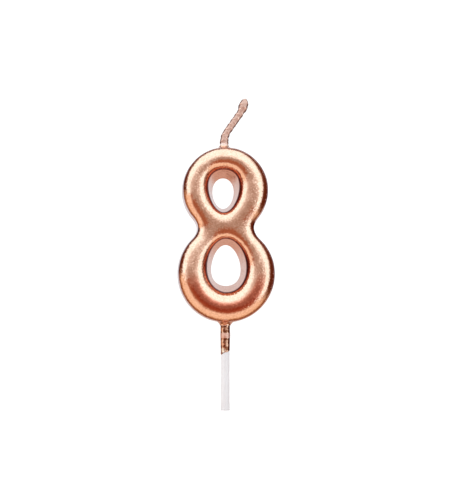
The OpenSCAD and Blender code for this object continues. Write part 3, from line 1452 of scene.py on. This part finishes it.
@dataclass
class StickCoat:
    """The coat's run-down on the stick, ending in a slanting ragged lip.

    Drops are measured down from the neck, in millimetres.
    """

    steps: int = 160
    rows: int = 90
    slant: float = 0.5
    edge_rise: float = 0.4
    drip: float = 0.22
    drip_at: float = 3.7
    drip_width: float = 0.35
    gap: float = 0.006
    thick: float = 0.12
    bulge: float = 0.06
    bulge_drop: float = 2.78
    bulge_reach: float = 0.75
    thin_by: float = 0.07
    thin_drop: float = 5.28
    thin_over: float = 1.4
    lip: float = 0.16
    bead: float = 0.03
    matte_half: float = 0.7
    spot_x: float = -0.6
    spot_y: float = -1.1
    spot_drop: float = 6.78
    radius: float = field(init=False)
    low_z: float = field(init=False)
    high_z: float = field(init=False)

    def __post_init__(self) -> None:
        """Read the stick's radius and the coat's ends from the CAD."""
        low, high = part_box("stick")
        self.radius = (high.x - low.x) / 2 / MM
        low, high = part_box("stick_coat")
        self.low_z, self.high_z = low.z / MM + self.edge_rise, high.z / MM

    def finish(self) -> RoseGold:
        """Lacquer with a matte band over the bulge and a thin spot near the edge."""
        middle = self.high_z - self.bulge_drop
        return RoseGold(
            name="rose_gold_sleeve",
            matte_band=(middle - self.matte_half, middle + self.matte_half),
            thin_spot=(self.spot_x, self.spot_y, self.high_z - self.spot_drop),
        )

    def build(self, finish: Any) -> Any:
        """Make the sleeve as one closed ring.

        Height runs from the neck to an edge that is a slanting line with
        small sines and one drip on it. Thickness bulges under the matte band,
        thins towards the edge, and rolls over at the edge in a small bead.

        Args:
            finish: the metallic coat.

        Returns:
            The object.
        """
        a = np.arange(self.steps) / self.steps * 2 * np.pi
        edge = self.low_z + self.slant * np.cos(a - 0.2)
        edge = edge + 0.10 * np.sin(3 * a + 1) + 0.06 * np.sin(7 * a) + 0.04 * np.sin(13 * a + 2)
        off_drip = np.mod(a - self.drip_at + np.pi, 2 * np.pi) - np.pi
        edge = edge - self.drip * bell(off_drip / self.drip_width)
        t = np.linspace(0, 1, self.rows)[:, None]
        z = self.high_z + (edge[None] - self.high_z) * t
        drop = self.high_z - z
        fat = self.thick + self.bulge * bell((drop - self.bulge_drop) / self.bulge_reach)
        fat = fat - self.thin_by * smooth((drop - self.thin_drop) / self.thin_over)
        fat = fat + 0.012 * np.sin(2 * a[None] + z * 1.3) * np.sin(z * 2.1)
        fat = fat + self.bead * bell((z - edge[None] - 0.2) / 0.15)
        roll = ((edge[None] + self.lip - z) / self.lip).clip(0, 1)
        r = self.radius + self.gap + fat * np.sqrt(np.clip(1 - roll**2, 0, 1))
        outer = np.stack([r * np.cos(a), r * np.sin(a), z], -1)
        inner_r = np.full_like(z, self.radius + self.gap)
        inner = np.stack([inner_r * np.cos(a), inner_r * np.sin(a), z], -1)
        loop = np.concatenate([outer, inner[::-1], outer[:1]])
        shell = Shell()
        shell.add(loop, flip=True)
        return shell.make("stick_coat_sleeve", finish)


# -------------------------------------------------------------------- studio


@dataclass
class Studio:
    """Pale floor, soft lights, tent for reflections and the camera.

    The tent is seen by reflections only. Its colour runs with the angle from
    the camera: dim and warm in front, then bright soft boxes, a dark brown
    gap and the pale backdrop behind. The soft boxes are broader higher up,
    and below a tilted line the warm colours of the floor's side take over.
    Lengths are metres, the lens is in millimetres and angles are degrees.
    """

    camera_from: tuple[float, float, float] = (-0.0144, -0.3297, 0.032)
    look_at: tuple[float, float, float] = (-0.00007, 0.0, 0.044)
    lens: float = 84.4
    floor_half: float = 6.0
    world_light: float = 1.15
    lamp_at: tuple[float, float, float] = (-0.35, -0.3, 0.55)
    lamp_aim: tuple[float, float, float] = (0.0, 0.0, 0.05)
    lamp_size: tuple[float, float] = (0.5, 0.4)
    lamp_power: float = 1.2
    tent_radius: float = 1.2
    tent_rows: int = 33
    tent_columns: int = 64
    tent_gain: float = 2.3
    least_sine: float = 0.12
    swing_from: float = 20.0
    swing_over: float = 85.0
    lift_near: float = 22.0
    lift_fall: float = 58.0
    skew: float = 4.0
    nearer: float = 2.0
    floor_tilt: float = 0.2
    floor_from: float = 0.06
    floor_to: float = 0.24
    floor_soft: float = 0.3
    behind: tuple[float, float] = (122.0, 134.0)
    backdrop_low: Colour = (0.72, 0.52, 0.44)
    backdrop_high: Colour = (0.80, 0.82, 0.88)
    backdrop_fade: float = -0.7

    def camera(self) -> None:
        """Make the scene's camera."""
        data = bpy.data.cameras.new("camera")
        data.lens = self.lens
        data.sensor_width = 36.0
        data.clip_start = 0.01
        item = bpy.data.objects.new("camera", data)
        bpy.context.scene.collection.objects.link(item)
        eye, aim = (Vector(p) for p in (self.camera_from, self.look_at))
        item.location = eye
        item.rotation_mode = "QUATERNION"
        item.rotation_quaternion = (aim - eye).to_track_quat("-Z", "Y")
        bpy.context.scene.camera = item

    def floor(self) -> None:
        """Make the pale floor under the stick's end."""
        mesh = bpy.data.meshes.new("floor")
        w = self.floor_half
        mesh.from_pydata([(-w, -w, 0), (w, -w, 0), (w, w, 0), (-w, w, 0)], [], [(0, 1, 2, 3)])
        material, kit = new_material("pale_floor")
        kit.surface(Base_Color=(0.93, 0.93, 0.93), Roughness=0.9, Specular_IOR_Level=0.0)
        mesh.materials.append(material)
        item = bpy.data.objects.new("floor", mesh)
        bpy.context.scene.collection.objects.link(item)
        item.location.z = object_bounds()[0].z - 0.00002
        item.visible_glossy = False
        item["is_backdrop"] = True

    def tent(self) -> None:
        """Make the reflection tent, a sphere that glows inwards."""
        a = np.linspace(0, np.pi, self.tent_rows)[:, None]
        b = (np.arange(self.tent_columns) / self.tent_columns * 2 * np.pi)[None]
        r = self.tent_radius / MM
        grid = np.stack(
            [r * np.sin(a) * np.cos(b), r * np.sin(a) * np.sin(b), r * np.cos(a) + 0 * b], -1
        )
        shell = Shell()
        shell.add(grid)
        item = shell.make("tent", self._glow())
        for rays in ("camera", "diffuse", "shadow", "transmission", "volume_scatter"):
            setattr(item, "visible_" + rays, False)
        item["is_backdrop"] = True

    def _glow(self) -> Any:
        """Light of the tent by the direction from its middle.

        Right and up are the direction's parts across the view, each over the
        sine of its angle from the camera. Above the middle the angle is
        raised near the camera and lowered far from it, which broadens the
        soft boxes, and it is skewed a little to the right.

        Returns:
            The material.
        """
        material, kit = new_material("tent_glow")
        where = kit.vector("NORMALIZE", kit.position())
        eye = (Vector(self.camera_from) - Vector(self.look_at)).normalized()
        side = Vector((0, 0, 1)).cross(eye).normalized()
        facing = kit.vector("DOT_PRODUCT", where, tuple(eye))
        right = kit.vector("DOT_PRODUCT", where, tuple(side))
        up = kit.vector("DOT_PRODUCT", where, tuple(eye.cross(side)))
        angle = kit.math("ARCCOSINE", facing) * (180 / math.pi)
        least = kit.math("MAXIMUM", 1 - facing * facing, self.least_sine)
        sine = kit.math("SQRT", least)
        right, up = right / sine, up / sine
        rightward = kit.math("MAXIMUM", right, 0.0)
        upward = kit.math("MAXIMUM", up, 0.0)
        swing = kit.math("MAXIMUM", (angle - self.swing_from) / self.swing_over, 0.0)
        swing = kit.math("MINIMUM", swing, 1.0)
        lift = upward * (self.lift_near - swing * self.lift_fall)
        turned_angle = angle + lift + right * self.skew - self.nearer
        around = self._ramp(kit, turned_angle / 180, self._side_stops())
        below = self._ramp(kit, angle / 180, self._floor_stops())
        soft = self.floor_to + rightward * self.floor_soft
        down = kit.band((up + right * self.floor_tilt) * -1, self.floor_from, soft)
        high = kit.band(up, self.backdrop_fade, 0.0)
        back = kit.blend(high, self.backdrop_low, self.backdrop_high)
        share = 1 / self.tent_gain
        dimmed = kit.vector("MULTIPLY", back, (share, share, share))
        front = kit.blend(down, around, below)
        colours = kit.blend(kit.band(angle, *self.behind), front, dimmed)
        glow = kit.make("ShaderNodeEmission", {}, Color=colours, Strength=self.tent_gain)
        kit.make("ShaderNodeOutputMaterial", {}, Surface=glow.outputs[0])
        return material

    def _ramp(self, kit: NodeKit, angle: Wire, stops: list[tuple[float, Colour]]) -> Wire:
        """Colours by angle, scaled down by the tent's gain.

        Args:
            kit: the material's kit.
            angle: the angle as a share of 180 degrees.
            stops: angles in degrees and their colours.

        Returns:
            The colour.
        """
        g = self.tent_gain
        scaled = [(d / 180, (c[0] / g, c[1] / g, c[2] / g)) for d, c in stops]
        node = kit.make("ShaderNodeValToRGB", {"stops": scaled}, Fac=angle)
        return Wire(kit, node.outputs[0])

    @staticmethod
    def _side_stops() -> list[tuple[float, Colour]]:
        """Colours of the tent at the sides and above."""
        return [
            (0.0, (0.52, 0.43, 0.37)),
            (22.0, (0.56, 0.48, 0.42)),
            (36.0, (0.85, 0.84, 0.80)),
            (48.0, (1.45, 1.85, 1.95)),
            (66.0, (1.45, 1.85, 1.95)),
            (80.0, (0.24, 0.07, 0.025)),
            (90.0, (0.13, 0.03, 0.01)),
            (180.0, (0.13, 0.03, 0.01)),
        ]

    @staticmethod
    def _floor_stops() -> list[tuple[float, Colour]]:
        """Colours of the tent below."""
        return [
            (0.0, (0.52, 0.43, 0.37)),
            (8.0, (0.50, 0.32, 0.23)),
            (16.0, (0.44, 0.175, 0.095)),
            (38.0, (0.46, 0.18, 0.095)),
            (55.0, (1.15, 1.0, 0.82)),
            (92.0, (1.12, 0.93, 0.70)),
            (108.0, (0.54, 0.28, 0.12)),
            (122.0, (0.20, 0.05, 0.016)),
            (180.0, (0.20, 0.05, 0.016)),
        ]

    def lights(self) -> None:
        """Even white surroundings and one broad lamp above the left."""
        world = bpy.data.worlds.new("surroundings")
        bpy.context.scene.world = world
        world.use_nodes = True
        kit = NodeKit(world.node_tree)
        white = (1.0, 1.0, 1.0)
        glow = kit.make("ShaderNodeBackground", {}, Color=white, Strength=self.world_light)
        kit.make("ShaderNodeOutputWorld", {}, Surface=glow.outputs[0])
        lamp = bpy.data.lights.new("soft_box", "AREA")
        lamp.shape = "RECTANGLE"
        lamp.size, lamp.size_y = self.lamp_size
        lamp.energy = self.lamp_power
        item = bpy.data.objects.new("soft_box", lamp)
        bpy.context.scene.collection.objects.link(item)
        item.location = self.lamp_at
        item.rotation_mode = "QUATERNION"
        aim = Vector(self.lamp_aim) - item.location
        item.rotation_quaternion = aim.to_track_quat("-Z", "Y")
        item.visible_glossy = False

    def build(self) -> None:
        """Make the whole studio."""
        self.camera()
        self.floor()
        self.tent()
        self.lights()
        bpy.context.scene.view_settings.view_transform = "Standard"


def main() -> None:
    """Build the candle's looks and the studio round it."""
    logging.basicConfig(level=logging.INFO, format="%(name)s: %(message)s")
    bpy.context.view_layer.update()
    coat = RoseGold().material()
    stick_coat = StickCoat()
    sleeve = stick_coat.finish().material()
    wax = CandleWax().material()
    hand_over(FigureSkin().build(coat), Body.CANDLE, Slot.COAT, "body_coat")
    beads = WaxBeads()
    hand_over(beads.collar(coat), Body.CANDLE, Slot.COAT)
    hand_over(beads.crater(coat), Body.CANDLE, Slot.COAT)
    hand_over(beads.foot(wax), Body.CANDLE, Slot.WAX)
    hand_over(stick_coat.build(sleeve), Body.CANDLE, Slot.COAT, "stick_coat")
    wick = Wick()
    plait = wick.build(CoatedCotton().material())
    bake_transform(plait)
    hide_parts("wick_strand_a", "wick_strand_b", "wick_strand_c")
    LOG.info("%s: %d faces, bends at the root", plait.name, len(plait.data.polygons))
    finishes = {
        "wax_body": wax,
        "stick": StickPlastic().material(),
        "wick_core": Cotton().material(),
    }
    for name, finish in finishes.items():
        mesh = frame["nodes"][name].data
        mesh.materials.clear()
        mesh.materials.append(finish)
    Studio().build()


if __name__ == "__main__":
    main()
